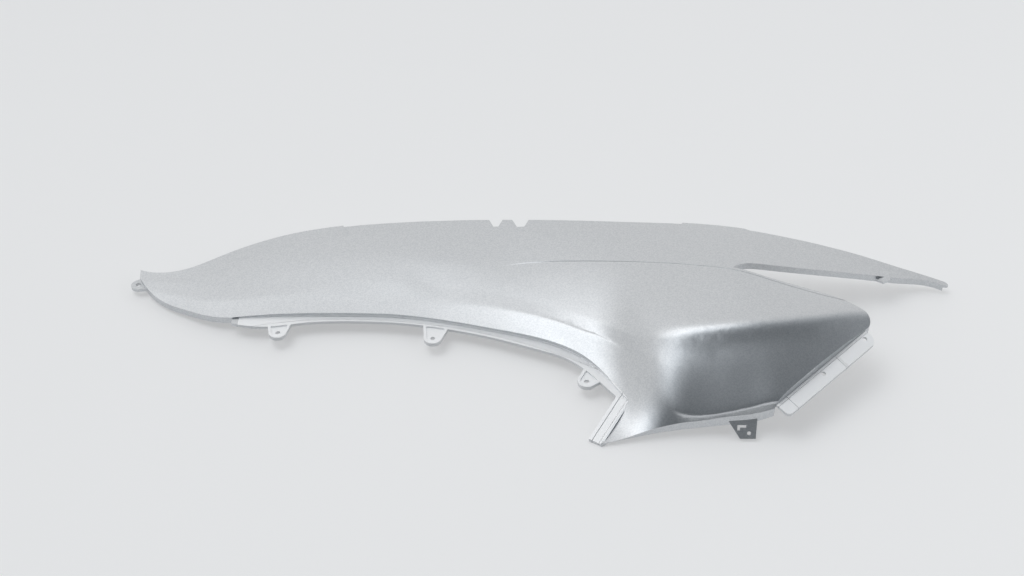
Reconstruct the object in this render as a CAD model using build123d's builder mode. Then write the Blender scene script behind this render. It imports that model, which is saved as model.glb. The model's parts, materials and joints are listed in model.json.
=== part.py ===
from build123d import *
from math import atan2, cos, degrees, hypot, radians, sin
import os

# Scooter rear side panel: one moulded shell, lying with its painted side up.
# Layout: x runs from the eyelet at the front to the tip of the tail finger, y from the
# lowest corner up to the seat edge, z up from the ground that the panel lies on.

# Walls and rims
wall = 2.6
rim_depth = 7.0

# Ledge along the engine arch and down the slanted corner
ledge_top = 12.6
ledge_wall = 3.0
ledge_width_slanted = 12.5
ledge_end_top = 0.8
ledge_edge = [
    (112, 149.5), (123, 146.6), (142, 144.5), (180, 150), (225.5, 152.4), (274.7, 149.6), (319, 141.3),
    (363, 128.7), (406.3, 112), (425.8, 103.6), (439.5, 93.8), (461.4, 68.4),
]

# Screw tabs on the ledge: x and y of the hole, and the direction that the tab points
tab_places = [(158.0, 137.4, -90.0), (306.0, 129.2, -98.0), (449.5, 70.4, -128.0)]
tab_wall = 4.0
tab_recess = 1.4
tab_tip_radius = 8.6
tab_root_radius = 3.0
tab_half_width = 13.0
tab_reach = 19.0
tab_rim = 2.6
screw_hole = 4.6

# Eyelet at the front end
eyelet_place = (9.4, 214.2)
eyelet_radius = 7.4
eyelet_hole = 5.2
eyelet_wall = 3.0
eyelet_top = 6.6
eyelet_arm = [(14.5, 222.5), (21.0, 211.0)]
eyelet_arm_radius = 3.0

# Seat rebate along the top edge and its two notches: x of the middle, width, y of the bottom
rebate_depth = 1.7
rebate_lap = 3.0
rebate_front = [(205, 290), (212, 268), (268, 273.3), (330, 276), (370, 267), (393.7, 261.2)]
rebate_rear = [(491.7, 249.6), (536, 240.2), (541, 240.6), (545.5, 246), (556, 262)]
notch_taper = 3.5
notch_places = [(364.6, 12.0, 275.6), (389.8, 14.5, 273.6)]

# Stepped flange along the trailing edge
flange_wall = 2.6
flange_step = 4.0
flange_width = 15.0
flange_fall = 0.25
flange_cant = -0.058
flange_start = -4.0
flange_end = 119.0
flange_near_corner = 5.0
flange_far_corner = 9.0
flange_hole = 4.4
flange_hole_places = [(53.1, 5.8), (111.3, 5.8)]

# Region of the arch ledge, and how far the flat undersides reach past the ledges
arch_zone = [(112, 60), (112, 190), (430, 190)]
zone_margin = 5.0

# Lip under the bottom edge: x and level of its foot
lip_line = [(464.5, 1.0), (518, 5.5), (546, 8), (577, 11), (600, 14.5), (614, 19)]
lip_reach = 4.0

# Bracket that hangs from the lip
bracket_origin = (585.0, 16.0, 16.0)
bracket_slope = 59.0
bracket_wall = 2.4
bracket_root = 3.0
bracket_shape = [(-13, 0), (-2, -17), (12, -17), (13, 0)]
bracket_slot = [(-4.5, -4.5), (3.5, -4.5), (3.5, -7), (-2, -7), (-2, -9.5), (-4.5, -9.5)]
bracket_hole = 3.6
bracket_hole_place = (6.0, -12.0)

# Hook on the lower edge of the finger
hook_shape = [(733, 207), (752, 212), (750.5, 198), (743.5, 194.5), (738.5, 198)]
hook_top = 26.5
hook_wall = 2.6

# Feature lines of the painted face, from the front end to the tail: x, y, z
top_line = [
    (-14, 240, 9), (50, 234, 13), (94, 256, 17), (168, 283, 24), (268, 292, 30), (410, 288, 36),
    (493, 277, 42), (547, 265, 48), (612, 251, 51), (666, 241, 45), (716, 235, 34), (766, 230, 20),
    (830, 222, 5),
]
step_line = [
    (-14, 226, 8.5), (50, 214, 12), (94, 222, 17.5), (168, 232, 24), (268, 232, 29.5), (367, 218, 32),
    (402, 214, 35), (454, 207, 43), (505, 192, 54.5), (553, 171.5, 66), (589, 159, 71.5),
    (622, 161, 66.5), (673, 165, 53), (726, 172, 37), (766, 182, 22), (830, 200, 4),
]
crest_line = [
    (-14, 218, 8), (50, 200, 11), (94, 196, 16.5), (168, 202, 21.4), (268, 200, 25.3), (304, 188, 23.8),
    (342, 184, 25.8), (378, 174, 27.3), (418, 157, 29.8), (451, 138, 33.5), (475, 118, 38),
    (497, 94, 50), (520, 82, 63), (566, 76.5, 74), (607, 78.5, 77), (651, 90, 71), (704, 114, 55),
    (760, 130, 34), (830, 150, 6),
]
fold_line = [
    (-14, 212, 7.5), (50, 190, 10), (94, 176, 15), (168, 180, 19), (268, 180, 21.4), (304, 168, 20.2),
    (342, 164, 22.4), (378, 154, 24), (418, 137, 26), (451, 116, 27.5), (475, 98, 29.5),
    (497, 61, 33.5), (508, 40, 32), (517, 27, 29.5), (526, 20.5, 26.5), (542, 17.5, 23.5),
    (558, 17.5, 24.5), (585, 19, 30), (616, 22.5, 36), (647, 25, 27), (672, 40, 24), (704, 60, 25),
    (760, 90, 10), (830, 110, 0),
]
lower_line = [
    (-14, 190, 4), (50, 158, 6.5), (94, 140, 11), (168, 142, 14.8), (268, 141, 14), (342, 125, 13),
    (378, 112, 12), (418, 90, 9.5), (440, 45, 5), (462, -16, 2), (486, -12, 2.2), (508, -3, 1.5),
    (526, 6, 3), (545, 11, 8), (569, 12.5, 13), (600, 14.5, 19.5), (616, 15.5, 22), (647, 12, 15),
    (672, 22, 10), (704, 40, 8), (760, 70, 0), (830, 95, -6),
]

# Tilt of the face towards the bottom edge, in degrees, at each feature line: x, tilt
step_tilt = [
    (-14, 2), (94, 1), (168, 2.5), (268, 4), (402, 4), (454, 2), (505, -4), (553, -8), (589, -9), (830, -9),
]
crest_tilt_above = [
    (-14, 5), (94, 4), (168, 6), (268, 9), (418, 11), (451, 11.5), (475, 12), (497, 11), (520, 5),
    (566, 0), (607, 0), (651, 2), (704, 8), (830, 10),
]
crest_tilt_below = [
    (-14, 5), (94, 4), (168, 6), (268, 9), (418, 11), (451, 11.5), (475, 13), (497, 17), (520, 25),
    (545, 33), (566, 37), (607, 35), (651, 34), (704, 28), (830, 30),
]
fold_tilt_above = [
    (-14, 8), (94, 8), (168, 9), (268, 11), (418, 12), (451, 13), (475, 16), (497, 28), (508, 34),
    (520, 40), (542, 44), (566, 44), (607, 40), (651, 36), (830, 36),
]
fold_tilt_below = [
    (-14, 8), (94, 8), (168, 9), (268, 11), (342, 14), (378, 18), (418, 25), (451, 27), (475, 27),
    (497, 29), (508, 37), (517, 47), (526, 58), (542, 66), (616, 70), (650, 60), (830, 45),
]

# Outline of the painted face seen from above: x, y
neck_top = (8.2, 233.1)
top_edge = [
    neck_top, (27, 227.8), (50, 229.6), (93, 250.8), (168, 278.2), (267, 287.4), (409, 283.9), (547, 260.8),
]
top_step = [(611.6, 246.6), (616.5, 243.3)]
finger_top = [(665.6, 236.5), (766, 225.4), (812, 216.6)]
finger_tip = (814.6, 213.0)
finger_low = [
    (809, 210.6), (799, 213.2), (762.5, 207.4), (725.6, 197.0), (672.7, 184.6), (621.7, 175.0), (599, 170.6),
]
slot_nose = (588.4, 162.6)
slot_low = [(603.8, 157.3), (618.1, 151.8), (663.7, 140.7), (693.4, 127.8), (707.8, 117.6)]
body_tip = (710.6, 110.4)
trailing_top = (705.6, 101.6)
trailing_foot = (616.6, 22.4)
bottom_edge = [(612, 18.6), (600, 17), (569, 15.5), (545, 14.4), (518, 12.2), (489, 7.2), (459.6, 1.2)]
arch_corner = (485.9, 42.8)
arch_edge = [
    (479, 54), (467, 75), (447, 98.4), (426, 113.6), (363, 136.8), (274.5, 156.7), (215.7, 159.4),
    (145.6, 158.8), (112, 156.4),
]
front_edge = [(88.9, 160.2), (63.2, 172.4), (35.9, 188.8), (20.2, 205.2)]
neck_low = (9.8, 221.6)

# Spacing of the sections, and the levels between which cutters and blanks reach
section_pitch = 16.0
points_per_span = 5
form_height = 120.0
low_level = -60.0
high_level = 180.0

# Facets on which the finished panel is measured
facet_size = 0.1
facet_angle = 0.3


def along(line, x, column=1):
    """Smooth value of one column of a feature line at x."""
    count = len(line)
    i = max(k for k in range(count - 1) if line[k][0] <= x)
    slopes = []
    for k in (i, i + 1):
        before = line[max(k - 1, 0)]
        after = line[min(k + 1, count - 1)]
        slopes.append((after[column] - before[column]) / (after[0] - before[0]))
    span = line[i + 1][0] - line[i][0]
    t = (x - line[i][0]) / span
    a = line[i][column]
    b = line[i + 1][column]
    blend = t * t * (3 - 2 * t)
    lift = slopes[0] * t * (1 - t) ** 2 - slopes[1] * t * t * (1 - t)
    return a + (b - a) * blend + span * lift


def chord_tilt(start, end):
    """Tilt of the straight line from start down to end, in degrees."""
    return degrees(atan2(start[1] - end[1], start[0] - end[0]))


def inward(point, tilt, depth):
    """The point moved by depth square to a face of that tilt, into the material."""
    return (point[0] + depth * sin(radians(tilt)), point[1] - depth * cos(radians(tilt)))


def bowed(start, end, start_tilt, end_tilt):
    """Points along a cubic bow from start towards end, with a given tilt at each end."""
    reach = hypot(start[0] - end[0], start[1] - end[1]) / 3
    first = (start[0] - reach * cos(radians(start_tilt)), start[1] - reach * sin(radians(start_tilt)))
    second = (end[0] + reach * cos(radians(end_tilt)), end[1] + reach * sin(radians(end_tilt)))
    points = []
    for k in range(points_per_span):
        t = k / points_per_span
        weights = ((1 - t) ** 3, 3 * t * (1 - t) ** 2, 3 * t * t * (1 - t), t ** 3)
        bow = (start, first, second, end)
        points.append(tuple(sum(w * p[axis] for w, p in zip(weights, bow)) for axis in (0, 1)))
    return points


def section(x, depth):
    """Section of the face at x, from the seat edge to the lower edge, moved inward by depth."""
    lines = (top_line, step_line, crest_line, fold_line, lower_line)
    top, step, crest, fold, lower = ((along(line, x), along(line, x, 2)) for line in lines)
    at_step = along(step_tilt, x)
    above_crest = along(crest_tilt_above, x)
    below_crest = along(crest_tilt_below, x)
    above_fold = along(fold_tilt_above, x)
    below_fold = along(fold_tilt_below, x)
    at_top = 2 * chord_tilt(top, step) - at_step
    at_lower = 2 * chord_tilt(fold, lower) - below_fold
    top = inward(top, at_top, depth)
    step = inward(step, at_step, depth)
    crest = inward(crest, (above_crest + below_crest) / 2, depth)
    fold = inward(fold, (above_fold + below_fold) / 2, depth)
    lower = inward(lower, at_lower, depth)
    points = bowed(top, step, at_top, at_step)
    points += bowed(step, crest, at_step, above_crest)
    points += bowed(crest, fold, below_crest, above_fold)
    points += bowed(fold, lower, below_fold, at_lower)
    points.append(lower)
    shares = [k / (len(points) - 1) for k in range(len(points))]
    return Wire([Edge.make_spline([Vector(x, y, z) for y, z in points], parameters=shares)])


def face_of_form(depth):
    """The painted face as one loft through its sections, moved inward by depth."""
    first = top_line[0][0]
    last = top_line[-1][0]
    count = round((last - first) / section_pitch)
    sections = [section(first + (last - first) * k / count, depth) for k in range(count + 1)]
    return Shell.make_loft(sections).faces()[0]


def form_under(face, drop=0.0):
    """Solid below a face that is first lowered by drop."""
    with BuildPart() as solid:
        extrude(face.moved(Location((0, 0, -drop))), amount=form_height, dir=(0, 0, -1))
    return solid.part


def rim_run():
    """Edges of the outline that carry a rim, from the finger round to the neck."""
    Spline(*finger_low, slot_nose)
    Spline(slot_nose, *slot_low)
    Spline(slot_low[-1], body_tip, trailing_top)
    Line(trailing_top, trailing_foot)
    Line(trailing_foot, bottom_edge[0])
    Spline(*bottom_edge)
    Line(bottom_edge[-1], arch_corner)
    Spline(arch_corner, *arch_edge)
    Spline(arch_edge[-1], *front_edge, neck_low)


def outline_blank():
    """Upright block with the outline of the painted face."""
    with BuildPart() as solid:
        with BuildSketch(Plane.XY.offset(low_level)):
            with BuildLine():
                rim_run()
                Line(neck_low, neck_top)
                Spline(*top_edge, top_step[0])
                Line(top_step[0], top_step[1])
                Spline(top_step[1], *finger_top)
                Spline(finger_top[-1], finger_tip, finger_low[0])
            make_face()
        extrude(amount=high_level - low_level)
    return solid.part


def rim_blank():
    """Upright wall that stands inside and outside the rim edges by one wall."""
    with BuildPart() as solid:
        with BuildSketch(Plane.XY.offset(low_level)):
            with BuildLine():
                rim_run()
            trace(line_width=2 * wall)
        extrude(amount=high_level - low_level)
    return solid.part


def slanted_plane(level):
    """Plane of the slanted ledge through its upper end, x down the slant and y inward."""
    run_x = bottom_edge[-1][0] - arch_corner[0]
    run_y = bottom_edge[-1][1] - arch_corner[1]
    length = hypot(run_x, run_y)
    fall = ledge_end_top - ledge_top
    down = Vector(run_x, run_y, fall).normalized()
    side = Vector(-run_y / length, run_x / length, 0)
    return Plane(origin=(*arch_corner, level), x_dir=down, z_dir=down.cross(side))


def slanted_length():
    """Length of the slanted ledge along its own plane."""
    run = hypot(bottom_edge[-1][0] - arch_corner[0], bottom_edge[-1][1] - arch_corner[1])
    return hypot(run, ledge_top - ledge_end_top)


def ledge_blank():
    """Ledge along the arch and down the slanted corner, left deep for the floor cut."""
    slanted = slanted_plane(ledge_top)
    corner_edge = slanted.from_local_coords(Vector(0, -ledge_width_slanted, 0))
    with BuildPart() as solid:
        with BuildSketch(Plane.XY.offset(ledge_top)):
            with BuildLine():
                Spline(*ledge_edge, (corner_edge.X, corner_edge.Y))
                Line((corner_edge.X, corner_edge.Y), arch_corner)
                Spline(arch_corner, *arch_edge)
                Line(arch_edge[-1], ledge_edge[0])
            make_face()
            with BuildLine():
                Spline(arch_corner, *arch_edge)
            trace(line_width=wall)
        extrude(amount=low_level / 2)
        with BuildSketch(slanted):
            with Locations((slanted_length() / 2, (wall / 2 - ledge_width_slanted) / 2)):
                Rectangle(slanted_length(), ledge_width_slanted + wall / 2)
        extrude(amount=low_level / 2, dir=(0, 0, 1))
    return solid.part


def hull_of(rounds):
    """Face stretched round circles, each given as x, y and radius, in the open sketch."""
    for x, y, radius in rounds:
        with Locations((x, y)):
            Circle(radius)
    make_hull()


def flange_plane(drop=0.0):
    """Plane of the trailing flange, x along the edge from its foot and y inward."""
    run_x = trailing_top[0] - trailing_foot[0]
    run_y = trailing_top[1] - trailing_foot[1]
    rise = flange_cant * run_x + flange_fall * run_y
    up = Vector(-flange_cant, -flange_fall, 1).normalized()
    level = along(fold_line, trailing_foot[0], 2) - flange_step - drop
    return Plane(origin=(*trailing_foot, level), x_dir=Vector(run_x, run_y, rise).normalized(), z_dir=up)


def flange_blank():
    """Trailing flange, left deep for the floor cut."""
    near = flange_near_corner
    far = flange_far_corner
    seat = wall / 4
    with BuildPart() as solid:
        with BuildSketch(flange_plane()):
            hull_of([
                (flange_start + near, near - flange_width, near), (flange_end - far, far - flange_width, far),
                (flange_start + seat, seat, seat), (flange_end - seat, seat, seat),
            ])
        extrude(amount=low_level / 2, dir=(0, 0, 1))
    return solid.part


def block_below(plane, corners, rise=0.0):
    """Block under a plane that is first raised by rise, over corners given in the plane."""
    raised = Plane(origin=plane.origin + Vector(0, 0, rise), x_dir=plane.x_dir, z_dir=plane.z_dir)
    with BuildPart() as solid:
        with BuildSketch(raised):
            with BuildLine():
                Polyline(*corners, close=True)
            make_face()
        extrude(amount=rise + form_height, dir=(0, 0, -1))
    return solid.part


def flat_zones():
    """Planes under the flat ledge, the slanted ledge and the flange, with the corners that each covers."""
    flat = Plane.XY.offset(ledge_top - ledge_wall)
    slanted = slanted_plane(ledge_top - ledge_wall)
    outer = -ledge_width_slanted - zone_margin
    corner = [slanted.from_local_coords(Vector(0, y, 0)) for y in (zone_margin, outer)]
    arch = arch_zone + [(point.X, point.Y) for point in corner]
    far = slanted_length() + 2 * zone_margin
    slant = [(0, zone_margin), (0, outer), (far, outer), (far, zone_margin)]
    near = flange_start - 1
    far = flange_end + 2
    outer = -flange_width - zone_margin
    trail = [(near, zone_margin), (near, outer), (far, outer), (far, zone_margin)]
    return [(flat, arch), (slanted, slant), (flange_plane(flange_wall), trail)]


def lip_zone():
    """Upright block along the bottom edge, from outside it to a little behind its rim."""
    start = lip_line[0][0]
    end = lip_line[-1][0]
    inside = [(x, y + lip_reach) for x, y in bottom_edge[:-1]]
    with BuildPart() as solid:
        with BuildSketch(Plane.XY.offset(low_level)):
            with BuildLine():
                Polyline(
                    (start, low_level), (end, low_level), (end, trailing_foot[1]), *inside,
                    (start, bottom_edge[-1][1] + 1.5 * lip_reach), close=True,
                )
            make_face()
        extrude(amount=high_level - low_level)
    return solid.part


def below_lip():
    """Everything below the foot of the lip."""
    with BuildPart() as solid:
        add(lip_zone())
        with BuildSketch(Plane.XZ):
            with BuildLine():
                Polyline(*lip_line, (lip_line[-1][0], low_level), (lip_line[0][0], low_level), close=True)
            make_face()
        extrude(amount=high_level, both=True, mode=Mode.INTERSECT)
    return solid.part


def floor_cutter(outer_face):
    """Everything below the foot of the rims, the ledge, the lip and the flange."""
    zones = flat_zones()
    with BuildPart() as solid:
        add(form_under(outer_face, rim_depth))
        for plane, corners in zones:
            add(block_below(plane, corners, high_level), mode=Mode.SUBTRACT)
        add(lip_zone(), mode=Mode.SUBTRACT)
    with BuildPart() as flats:
        for plane, corners in zones:
            add(block_below(plane, corners))
        add(below_lip())
    return solid.part, flats.part


def rebate_block(lap):
    """Upright block over the seat rebate, stretched inward by lap."""
    front = [(x - lap, y - lap) for x, y in rebate_front]
    rear = [(x + lap * share, y - lap) for (x, y), share in zip(rebate_rear, (0, 0.4, 1, 1, 1))]
    with BuildPart() as solid:
        with BuildSketch(Plane.XY.offset(low_level)):
            with BuildLine():
                Line((front[0][0], 300), front[1])
                Spline(*front[1:], *rear[:2])
                Spline(*rear[1:])
                Line(rear[-1], (rear[-1][0], 300))
                Line((rear[-1][0], 300), (front[0][0], 300))
            make_face()
        extrude(amount=high_level - low_level)
    return solid.part


def rebate_plate(outer_face, outline):
    """Lowered strip of the face that the seat lies on."""
    with BuildPart() as solid:
        add(rebate_block(rebate_lap))
        add(outline, mode=Mode.INTERSECT)
        add(form_under(outer_face, rebate_depth), mode=Mode.INTERSECT)
        add(form_under(outer_face, rebate_depth + wall), mode=Mode.SUBTRACT)
    return solid.part


def notch_cutter():
    """Tapered notches that open to the seat edge."""
    with BuildPart() as solid:
        with BuildSketch(Plane.XY.offset(low_level)):
            for x, width, y in notch_places:
                narrow = width / 2 - notch_taper
                spread = (300 - y) * notch_taper / 9
                with BuildLine():
                    Polyline(
                        (x - narrow, y), (x + narrow, y), (x + narrow + spread, 300), (x - narrow - spread, 300),
                        close=True,
                    )
                make_face()
        extrude(amount=high_level - low_level)
    return solid.part


def tab(x, y, direction):
    """Screw tab with a shallow pocket round its hole."""
    out = Vector(cos(radians(direction)), sin(radians(direction)), 0)
    top = Plane(origin=(x, y, ledge_top), x_dir=out, z_dir=(0, 0, 1))
    root = tab_half_width - tab_root_radius
    narrow = root - tab_rim
    slim = tab_root_radius / 2
    pocket_root = tab_rim + tab_root_radius - tab_reach
    with BuildPart() as solid:
        with BuildSketch(top):
            hull_of([(0, 0, tab_tip_radius)] + [(-tab_reach, side, tab_root_radius) for side in (-root, root)])
        extrude(amount=-tab_wall)
        with BuildSketch(top):
            hull_of([(0, 0, tab_tip_radius - tab_rim)] + [(pocket_root, side, slim) for side in (-narrow, narrow)])
        extrude(amount=-tab_recess, mode=Mode.SUBTRACT)
        with BuildSketch(top):
            Circle(screw_hole / 2)
        extrude(amount=-2 * tab_wall, mode=Mode.SUBTRACT)
    return solid.part


def eyelet():
    """Eyelet plate with an arm into the neck."""
    with BuildPart() as solid:
        with BuildSketch(Plane.XY.offset(eyelet_top)):
            hull_of([(*eyelet_place, eyelet_radius)] + [(x, y, eyelet_arm_radius) for x, y in eyelet_arm])
        extrude(amount=-eyelet_wall)
    return solid.part


def hole_cutter():
    """Through holes of the eyelet and the trailing flange."""
    with BuildPart() as solid:
        with BuildSketch(Plane.XY.offset(eyelet_top)):
            with Locations(eyelet_place):
                Circle(eyelet_hole / 2)
        extrude(amount=2 * eyelet_wall, both=True)
        with BuildSketch(flange_plane()):
            with Locations(*((s, -t) for s, t in flange_hole_places)):
                Circle(flange_hole / 2)
        extrude(amount=2 * flange_wall, both=True)
    return solid.part


def bracket():
    """Sloping plate under the lip with its slot and hole."""
    slope = radians(bracket_slope)
    face = Plane(origin=bracket_origin, x_dir=(1, 0, 0), z_dir=(0, -sin(slope), cos(slope)))
    left, low_left, low_right, right = bracket_shape
    with BuildPart() as solid:
        with BuildSketch(face):
            with BuildLine():
                Polyline(
                    (left[0], bracket_root), left, low_left, low_right, right, (right[0], bracket_root), close=True,
                )
            make_face()
            with BuildLine():
                Polyline(*bracket_slot, close=True)
            make_face(mode=Mode.SUBTRACT)
            with Locations(bracket_hole_place):
                Circle(bracket_hole / 2, mode=Mode.SUBTRACT)
        extrude(amount=-bracket_wall)
    return solid.part


def hook():
    """Flat hook under the lower edge of the finger."""
    with BuildPart() as solid:
        with BuildSketch(Plane.XY.offset(hook_top)):
            with BuildLine():
                Polyline(*hook_shape, close=True)
            make_face()
        extrude(amount=-hook_wall)
    return solid.part


outer_face = face_of_form(0)
outline = outline_blank()

with BuildPart() as cavity:
    add(form_under(face_of_form(wall)))
    add(rim_blank(), mode=Mode.SUBTRACT)

rest_floor, flat_floor = floor_cutter(outer_face)

with BuildPart() as side_panel:
    add(form_under(outer_face))
    add(outline, mode=Mode.INTERSECT)
    add(rebate_block(0), mode=Mode.SUBTRACT)
    add(cavity.part, mode=Mode.SUBTRACT)
    add(rebate_plate(outer_face, outline))
    add(ledge_blank())
    add(flange_blank())
    add(flat_floor, mode=Mode.SUBTRACT)
    add(rest_floor, mode=Mode.SUBTRACT)
    for place in tab_places:
        add(tab(*place))
    add(eyelet())
    add(bracket())
    add(hook())
    add(hole_cutter(), mode=Mode.SUBTRACT)
    add(notch_cutter(), mode=Mode.SUBTRACT)

# The finished panel moves so that the middle of its underside box is the origin
corners, facets = side_panel.part.tessellate(facet_size, facet_angle)
spans = [(min(values), max(values)) for values in zip(*(tuple(corner) for corner in corners))]
middle = [(low + high) / 2 for low, high in spans]
side_panel.part.label = "side_panel"
side_panel.part.locate(Location((-middle[0], -middle[1], -spans[2][0])))
os.makedirs("parts", exist_ok=True)
export_step(side_panel.part, "parts/side_panel.step")
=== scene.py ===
"""Looks of the scooter side panel: its paint, a pale studio floor, soft lights and a camera."""

import json
import logging
import math
from collections.abc import Sequence
from dataclasses import dataclass, field
from enum import Enum

import bpy
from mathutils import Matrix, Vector

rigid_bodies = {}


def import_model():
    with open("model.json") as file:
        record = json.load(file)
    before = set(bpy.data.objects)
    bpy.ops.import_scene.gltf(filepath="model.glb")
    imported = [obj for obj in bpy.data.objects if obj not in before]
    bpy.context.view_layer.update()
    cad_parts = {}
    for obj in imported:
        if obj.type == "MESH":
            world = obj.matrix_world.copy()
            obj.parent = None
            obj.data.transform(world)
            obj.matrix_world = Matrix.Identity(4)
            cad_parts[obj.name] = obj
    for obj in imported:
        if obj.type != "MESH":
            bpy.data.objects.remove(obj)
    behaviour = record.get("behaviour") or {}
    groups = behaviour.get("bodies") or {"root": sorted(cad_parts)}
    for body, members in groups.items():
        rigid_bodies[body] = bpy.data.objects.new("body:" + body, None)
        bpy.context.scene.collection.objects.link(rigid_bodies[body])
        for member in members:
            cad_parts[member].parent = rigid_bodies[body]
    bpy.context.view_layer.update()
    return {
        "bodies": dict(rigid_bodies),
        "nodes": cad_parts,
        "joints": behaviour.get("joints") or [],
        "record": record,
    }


LOG = logging.getLogger("side_panel_scene")
MM_PER_M = 1000
WHITE = "ffffff"
Colour = tuple[float, float, float, float]
Point = tuple[float, float, float]
Side = tuple[Point, float]


def from_hex(code: str) -> Colour:
    """Turn an sRGB hex colour into a linear one.

    Args:
        code: Six hex digits, red first.

    Returns:
        Linear red, green, blue and an alpha of 1.
    """
    parts = [int(code[i:i + 2], 16) / 255 for i in (0, 2, 4)]
    linear = [c / 12.92 if c <= 0.04045 else ((c + 0.055) / 1.055) ** 2.4 for c in parts]
    return linear[0], linear[1], linear[2], 1.0


def add_node(tree: bpy.types.NodeTree, kind: str, links: dict[str, object] | None = None,
             settings: dict[str, object] | None = None,
             values: dict[str, object] | None = None) -> bpy.types.Node:
    """Add one node with its settings, its constant inputs and its links.

    Args:
        tree: Node tree that takes the node.
        kind: Blender's name of the node type.
        links: Input name, or its number as text, to the output socket that feeds it.
        settings: Property name to value.
        values: Input name, or its number as text, to constant.

    Returns:
        The new node.
    """
    node = tree.nodes.new(kind)
    for name, value in (settings or {}).items():
        setattr(node, name, value)
    for name, value in (values or {}).items():
        socket = node.inputs[int(name)] if name.isdigit() else node.inputs[name]
        socket.default_value = value
    for name, source in (links or {}).items():
        socket = node.inputs[int(name)] if name.isdigit() else node.inputs[name]
        tree.links.new(source, socket)
    return node


class Layer(Enum):
    """What the panel lies on and what surrounds it."""

    FLOOR = "studio_floor"
    WORLD = "studio_air"


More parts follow.
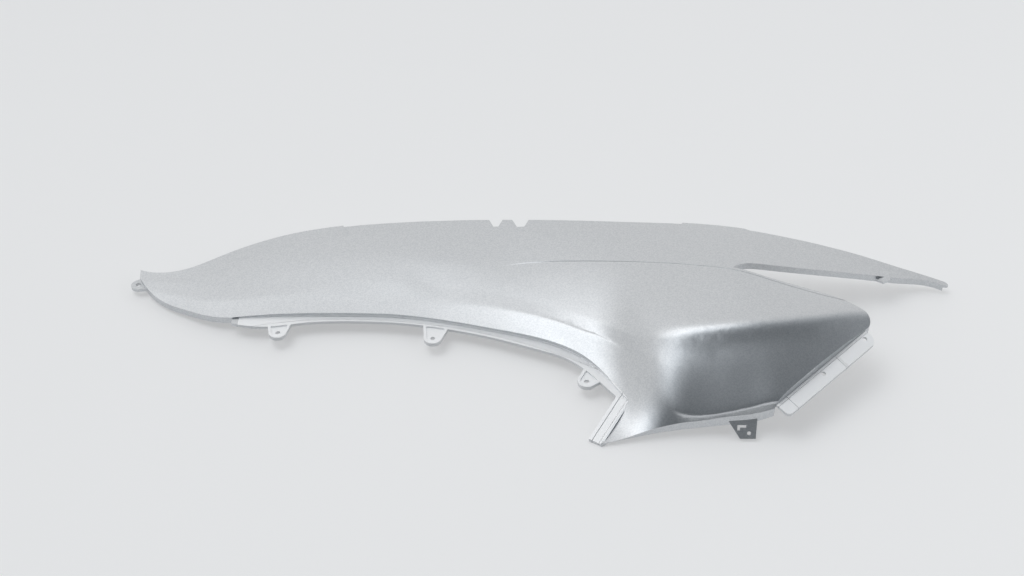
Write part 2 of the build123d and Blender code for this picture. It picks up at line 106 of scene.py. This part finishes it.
@dataclass(frozen=True)
class SilverPaint:
    """Metallic silver car paint under clear coat, sprayed on moulded ABS.

    Aluminium flake in the base gives the eye a grey that turns bright or dark with the tilt of
    the panel, the coat adds a soft sharper gloss, and the spray leaves a faint orange peel. The
    ledges, tabs and flange get only the thin edge of the spray, so that they look paler and flatter.

    A curve is the factors of a polynomial y(x) in metres, the highest power first. A side is a
    direction and the reach along it, in metres. A point is inside a group of sides when it lies
    past each of them.
    """

    name: str = "silver_metallic_paint_sprayed"
    base: str = "d9dbdd"
    metallic: float = 0.91
    roughness: float = 0.40
    coat: float = 0.35
    coat_roughness: float = 0.16
    # real flake is about 0.05 mm, too fine to show, so it is drawn coarser
    flake_mm: float = 0.9
    flake_dark: str = "c9cccf"
    peel_mm: float = 2.5
    peel_depth_mm: float = 0.02
    peel_strength: float = 0.25
    overspray: str = "fafbfc"
    overspray_metallic: float = 0.2
    overspray_roughness: float = 0.42
    overspray_coat: float = 0.15
    overspray_coat_roughness: float = 0.2
    # the pressed step between upper strip and main face, which fades in over this range of x
    step_mm: float = 1.2
    step_run_mm: float = 1.2
    step_line: tuple[float, ...] = (5.009, -2.230, -0.0675, 0.07003)
    step_fade: tuple[float, float] = (-0.05, 0.06)
    # low moulded lines: each rises from the first reach to the second, in either direction
    relief_mm: float = 0.9
    arch_line: tuple[float, ...] = (-4.828, -2.681, -1.674, -0.4716, -0.03286)
    arch_bead: tuple[float, float] = (0.0034, 0.0026)
    relief_lines: tuple[tuple[Point, float, float], ...] = (
        ((-0.845, 0.534, 0.0), -0.1170, -0.1178),
        ((-0.845, 0.534, 0.0), -0.1110, -0.1100),
        ((0.747, 0.665, 0.0), 0.0834, 0.0842),
        ((0.747, 0.665, 0.0), 0.1492, 0.1498),
        ((0.747, 0.665, 0.0), 0.1516, 0.1510),
        ((0.665, -0.747, 0.0), 0.2322, 0.2316),
    )
    # in turn the arch ledge with its tabs, the slanted ledge, and the trailing flange
    ledge_sides: tuple[tuple[Side, ...], ...] = (
        (((0.0, 0.0, -1.0), -0.0172), ((1.0, 0.0, 0.0), -0.290), ((-1.0, 0.0, 0.0), -0.080),
         ((0.0, 1.0, 0.0), -0.1005), ((0.022, 0.0, -1.0), -0.0216)),
        (((-0.845, 0.534, 0.0), -0.1191), ((0.0, -1.0, 0.0), 0.1005)),
        (((0.665, -0.747, 0.0), 0.2297),),
    )

    def build(self) -> bpy.types.Material:
        """Make the paint.

        Returns:
            The finished material.
        """
        material = bpy.data.materials.new(self.name)
        material.use_nodes = True
        tree = material.node_tree
        tree.nodes.clear()
        place = add_node(tree, "ShaderNodeTexCoord").outputs["Object"]
        flake = add_node(tree, "ShaderNodeTexVoronoi", {"Vector": place},
                         values={"Scale": MM_PER_M / self.flake_mm})
        grey = add_node(tree, "ShaderNodeSeparateColor", {"Color": flake.outputs["Color"]})
        tone = add_node(tree, "ShaderNodeMix", {"Factor": grey.outputs["Red"]}, {"data_type": "RGBA"},
                        {"6": from_hex(self.flake_dark), "7": from_hex(self.base)})
        peel = add_node(tree, "ShaderNodeTexNoise", {"Vector": place},
                        values={"Scale": MM_PER_M / self.peel_mm, "Detail": 1.0})
        pressed = add_node(tree, "ShaderNodeBump", {"Height": self.step_height(tree, place)},
                           values={"Strength": 1.0, "Distance": self.step_mm / MM_PER_M})
        bump = add_node(tree, "ShaderNodeBump",
                        {"Height": peel.outputs["Fac"], "Normal": pressed.outputs["Normal"]},
                        values={"Strength": self.peel_strength, "Distance": self.peel_depth_mm / MM_PER_M})
        paint = add_node(
            tree, "ShaderNodeBsdfPrincipled",
            {"Base Color": tone.outputs["Result"], "Normal": bump.outputs["Normal"]},
            values={"Metallic": self.metallic, "Roughness": self.roughness, "Coat Weight": self.coat,
                    "Coat Roughness": self.coat_roughness},
        )
        relief = add_node(tree, "ShaderNodeBump", {"Height": self.ledge_relief(tree, place)},
                          values={"Strength": 1.0, "Distance": self.relief_mm / MM_PER_M})
        thin = add_node(
            tree, "ShaderNodeBsdfPrincipled", {"Normal": relief.outputs["Normal"]},
            values={"Base Color": from_hex(self.overspray), "Metallic": self.overspray_metallic,
                    "Roughness": self.overspray_roughness, "Coat Weight": self.overspray_coat,
                    "Coat Roughness": self.overspray_coat_roughness},
        )
        both = add_node(tree, "ShaderNodeMixShader",
                        {"0": self.ledge_mask(tree, place), "1": paint.outputs["BSDF"],
                         "2": thin.outputs["BSDF"]})
        add_node(tree, "ShaderNodeOutputMaterial", {"Surface": both.outputs["Shader"]})
        return material

    def step_height(self, tree: bpy.types.NodeTree, place: bpy.types.NodeSocket) -> bpy.types.NodeSocket:
        """Make the height of the pressed step that parts the upper strip from the main face.

        Args:
            tree: Node tree of the paint.
            place: Object coordinates.

        Returns:
            Socket that runs from 0 below the step to 1 above it.
        """
        axes = add_node(tree, "ShaderNodeSeparateXYZ", {"Vector": place})
        past = self.above_curve(tree, axes, self.step_line)
        half = self.step_run_mm / 2 / MM_PER_M
        rise = add_node(tree, "ShaderNodeMapRange", {"Value": past}, {"interpolation_type": "SMOOTHSTEP"},
                        {"From Min": -half, "From Max": half})
        fade = add_node(tree, "ShaderNodeMapRange", {"Value": axes.outputs["X"]},
                        {"interpolation_type": "SMOOTHSTEP"},
                        {"From Min": self.step_fade[0], "From Max": self.step_fade[1]})
        return add_node(tree, "ShaderNodeMath", {"0": rise.outputs["Result"], "1": fade.outputs["Result"]},
                        {"operation": "MULTIPLY"}).outputs[0]

    def above_curve(self, tree: bpy.types.NodeTree, axes: bpy.types.Node,
                    factors: tuple[float, ...]) -> bpy.types.NodeSocket:
        """Measure how far a point lies above a curve y(x), in metres.

        Args:
            tree: Node tree of the paint.
            axes: Node with the object coordinates apart.
            factors: Factors of the curve, at least two.

        Returns:
            Socket with y less the curve.
        """
        first, second, *rest = factors
        level = add_node(tree, "ShaderNodeMath", {"1": axes.outputs["X"]}, {"operation": "MULTIPLY_ADD"},
                         {"0": first, "2": second}).outputs[0]
        for factor in rest:
            level = add_node(tree, "ShaderNodeMath", {"0": level, "1": axes.outputs["X"]},
                             {"operation": "MULTIPLY_ADD"}, {"2": factor}).outputs[0]
        return add_node(tree, "ShaderNodeMath", {"0": axes.outputs["Y"], "1": level},
                        {"operation": "SUBTRACT"}).outputs[0]

    def ledge_relief(self, tree: bpy.types.NodeTree, place: bpy.types.NodeSocket) -> bpy.types.NodeSocket:
        """Make the low moulded lines of the ledges: beads along their edges and grooves across the flange.

        Args:
            tree: Node tree of the paint.
            place: Object coordinates.

        Returns:
            Socket with their height, 1 more on the far side of each line.
        """
        axes = add_node(tree, "ShaderNodeSeparateXYZ", {"Vector": place})
        lines = [(self.above_curve(tree, axes, self.arch_line), *self.arch_bead)]
        for way, low, high in self.relief_lines:
            reach = add_node(tree, "ShaderNodeVectorMath", {"0": place}, {"operation": "DOT_PRODUCT"},
                             {"1": way})
            lines.append((reach.outputs["Value"], low, high))
        total = None
        for measure, low, high in lines:
            falls = low > high
            height = add_node(tree, "ShaderNodeMapRange", {"Value": measure},
                              {"interpolation_type": "SMOOTHSTEP"},
                              {"From Min": min(low, high), "From Max": max(low, high),
                               "To Min": float(falls), "To Max": float(not falls)}).outputs["Result"]
            if total is not None:
                height = add_node(tree, "ShaderNodeMath", {"0": total, "1": height},
                                  {"operation": "ADD"}).outputs[0]
            total = height
        return total

    def ledge_mask(self, tree: bpy.types.NodeTree, place: bpy.types.NodeSocket) -> bpy.types.NodeSocket:
        """Make the mask of the ledges, tabs and flange that only the edge of the spray reaches.

        Args:
            tree: Node tree of the paint.
            place: Object coordinates.

        Returns:
            Socket that is 1 on the ledges and 0 on the face.
        """
        total = None
        for sides in self.ledge_sides:
            part = None
            for way, limit in sides:
                reach = add_node(tree, "ShaderNodeVectorMath", {"0": place}, {"operation": "DOT_PRODUCT"},
                                 {"1": way})
                inside = add_node(tree, "ShaderNodeMath", {"0": reach.outputs["Value"]},
                                  {"operation": "GREATER_THAN"}, {"1": limit}).outputs[0]
                if part is not None:
                    inside = add_node(tree, "ShaderNodeMath", {"0": part, "1": inside},
                                      {"operation": "MULTIPLY"}).outputs[0]
                part = inside
            if total is not None:
                part = add_node(tree, "ShaderNodeMath", {"0": total, "1": part},
                                {"operation": "MAXIMUM"}).outputs[0]
            total = part
        return total


@dataclass(frozen=True)
class FloorPaper:
    """Pale matt studio paper: even, without gloss, so that it only carries the soft shadow.

    Its glow is seen by the camera and in the paint's gloss, and lights nothing.
    """

    name: str = "white_paper_matt"
    shade: str = "bebfc0"
    glow: float = 0.36
    roughness: float = 0.95
    specular: float = 0.1

    def build(self) -> bpy.types.Material:
        """Make the paper.

        Returns:
            The finished material.
        """
        material = bpy.data.materials.new(self.name)
        material.use_nodes = True
        tree = material.node_tree
        tree.nodes.clear()
        path = add_node(tree, "ShaderNodeLightPath")
        seen = add_node(tree, "ShaderNodeMath",
                        {"0": path.outputs["Is Camera Ray"], "1": path.outputs["Is Glossy Ray"]},
                        {"operation": "MAXIMUM"})
        lift = add_node(tree, "ShaderNodeMath", {"0": seen.outputs[0]}, {"operation": "MULTIPLY"},
                        {"1": self.glow})
        paper = add_node(tree, "ShaderNodeBsdfPrincipled", {"Emission Strength": lift.outputs[0]},
                         values={"Base Color": from_hex(self.shade), "Roughness": self.roughness,
                                 "Specular IOR Level": self.specular, "Emission Color": from_hex(WHITE)})
        add_node(tree, "ShaderNodeOutputMaterial", {"Surface": paper.outputs["BSDF"]})
        return material


@dataclass
class PanelDress:
    """The painted panel: one moulded shell that stays as the frame gives it."""

    node: str = "side_panel"
    paint: SilverPaint = field(default_factory=SilverPaint)

    def dress(self, frame: dict) -> None:
        """Give the panel its paint.
        """
        shell = frame["nodes"][self.node]
        material = self.paint.build()
        for slot in shell.material_slots:
            slot.material = material
        LOG.info("%s painted with %s", self.node, material.name)


@dataclass(frozen=True)
class SoftBox:
    """One rectangular lamp, in metres and watts. It lights the panel, and no gloss mirrors it."""

    name: str
    place: Point
    target: Point
    width: float
    height: float
    power: float

    def hang(self) -> None:
        """Hang the lamp at its place, aimed at its target."""
        data = bpy.data.lights.new(self.name, "AREA")
        data.shape = "RECTANGLE"
        data.size = self.width
        data.size_y = self.height
        data.energy = self.power
        lamp = bpy.data.objects.new(self.name, data)
        bpy.context.scene.collection.objects.link(lamp)
        lamp.location = self.place
        lamp.visible_glossy = False
        aim = Vector(self.target) - Vector(self.place)
        lamp.rotation_euler = aim.to_track_quat("-Z", "Y").to_euler()
        LOG.info("%s hung at %s", self.name, self.place)


@dataclass
class Studio:
    """Pale floor, soft lamps and camera, sized in metres round the panel's middle.

    The air is dim and cool on the camera's side and bright at the back, over a span of how far a
    direction points that way. A glare stands in it where the panel's band mirrors a lamp.
    """

    aim: Point = (-0.0273, 0.0730, 0.0022)
    distance: float = 1.422
    elevation_deg: float = 40.0
    lens_mm: float = 50.0
    sensor_mm: float = 36.0
    floor_size: float = 14.0
    air_front: float = 0.12
    air_back: float = 0.80
    air_span: tuple[float, float] = (-0.5, 0.4)
    air_side: float = -0.40
    air_cool: str = "eaf5ff"
    glare_way: Point = (-0.37, 0.08, 0.926)
    glare_edge: float = 0.875
    glare_level: float = 1.6
    paper: FloorPaper = field(default_factory=FloorPaper)
    lamps: tuple[SoftBox, ...] = (
        SoftBox("lamp_left", (-0.62, -0.02, 1.77), (0.05, -0.03, 0.0), 0.9, 0.9, 3.0),
        SoftBox("lamp_right", (2.0, -0.6, 1.2), (0.1, 0.0, 0.0), 2.0, 1.4, 10.0),
    )

    def add_floor(self) -> None:
        """Lay the floor at the level that the panel lies on."""
        bpy.ops.object.select_all(action="DESELECT")
        bpy.ops.mesh.primitive_plane_add(size=self.floor_size, location=(0.0, 0.0, 0.0))
        floor = bpy.context.object
        floor.name = Layer.FLOOR.value
        floor.data.materials.append(self.paper.build())
        LOG.info("floor laid, %.0f m square", self.floor_size)

    def add_air(self) -> None:
        """Light the set from all round, brighter from the back wall than from the camera's side."""
        world = bpy.data.worlds.new(Layer.WORLD.value)
        bpy.context.scene.world = world
        world.use_nodes = True
        tree = world.node_tree
        tree.nodes.clear()
        place = add_node(tree, "ShaderNodeTexCoord").outputs["Object"]
        way = add_node(tree, "ShaderNodeVectorMath", {"0": place}, {"operation": "DOT_PRODUCT"},
                       {"1": (self.air_side, 1.0, 0.0)})
        level = add_node(tree, "ShaderNodeMapRange", {"Value": way.outputs["Value"]},
                         values={"From Min": self.air_span[0], "From Max": self.air_span[1],
                                 "To Min": self.air_front, "To Max": self.air_back})
        toward = add_node(tree, "ShaderNodeVectorMath", {"0": place}, {"operation": "DOT_PRODUCT"},
                          {"1": self.glare_way})
        glare = add_node(tree, "ShaderNodeMapRange", {"Value": toward.outputs["Value"]},
                         {"interpolation_type": "SMOOTHSTEP"},
                         {"From Min": self.glare_edge, "To Max": self.glare_level})
        total = add_node(tree, "ShaderNodeMath",
                         {"0": level.outputs["Result"], "1": glare.outputs["Result"]},
                         {"operation": "ADD"})
        share = add_node(tree, "ShaderNodeMapRange", {"Value": way.outputs["Value"]},
                         values={"From Min": self.air_span[0], "From Max": self.air_span[1]})
        tint = add_node(tree, "ShaderNodeMix", {"Factor": share.outputs["Result"]}, {"data_type": "RGBA"},
                        {"6": from_hex(self.air_cool), "7": from_hex(WHITE)})
        air = add_node(tree, "ShaderNodeBackground",
                       {"Strength": total.outputs[0], "Color": tint.outputs["Result"]})
        add_node(tree, "ShaderNodeOutputWorld", {"Surface": air.outputs["Background"]})

    def add_camera(self) -> None:
        """Stand the camera at the photograph's angle."""
        data = bpy.data.cameras.new("camera")
        data.lens = self.lens_mm
        data.sensor_width = self.sensor_mm
        camera = bpy.data.objects.new("camera", data)
        bpy.context.scene.collection.objects.link(camera)
        slope = math.radians(self.elevation_deg)
        back = Vector((0.0, -math.cos(slope), math.sin(slope)))
        camera.location = Vector(self.aim) + back * self.distance
        camera.rotation_euler = (-back).to_track_quat("-Z", "Y").to_euler()
        bpy.context.scene.camera = camera
        LOG.info("camera at %s", tuple(round(v, 3) for v in camera.location))

    def build(self) -> None:
        """Set up floor, air, lamps and camera."""
        self.add_floor()
        self.add_air()
        for lamp in self.lamps:
            lamp.hang()
        self.add_camera()
        bpy.context.scene.view_settings.view_transform = "Standard"


def main() -> None:
    """Build the scene in order and report each piece."""
    logging.basicConfig(level=logging.INFO, format="%(name)s: %(message)s")
    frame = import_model()
    Studio().build()
    PanelDress().dress(frame)


if __name__ == "__main__":
    main()
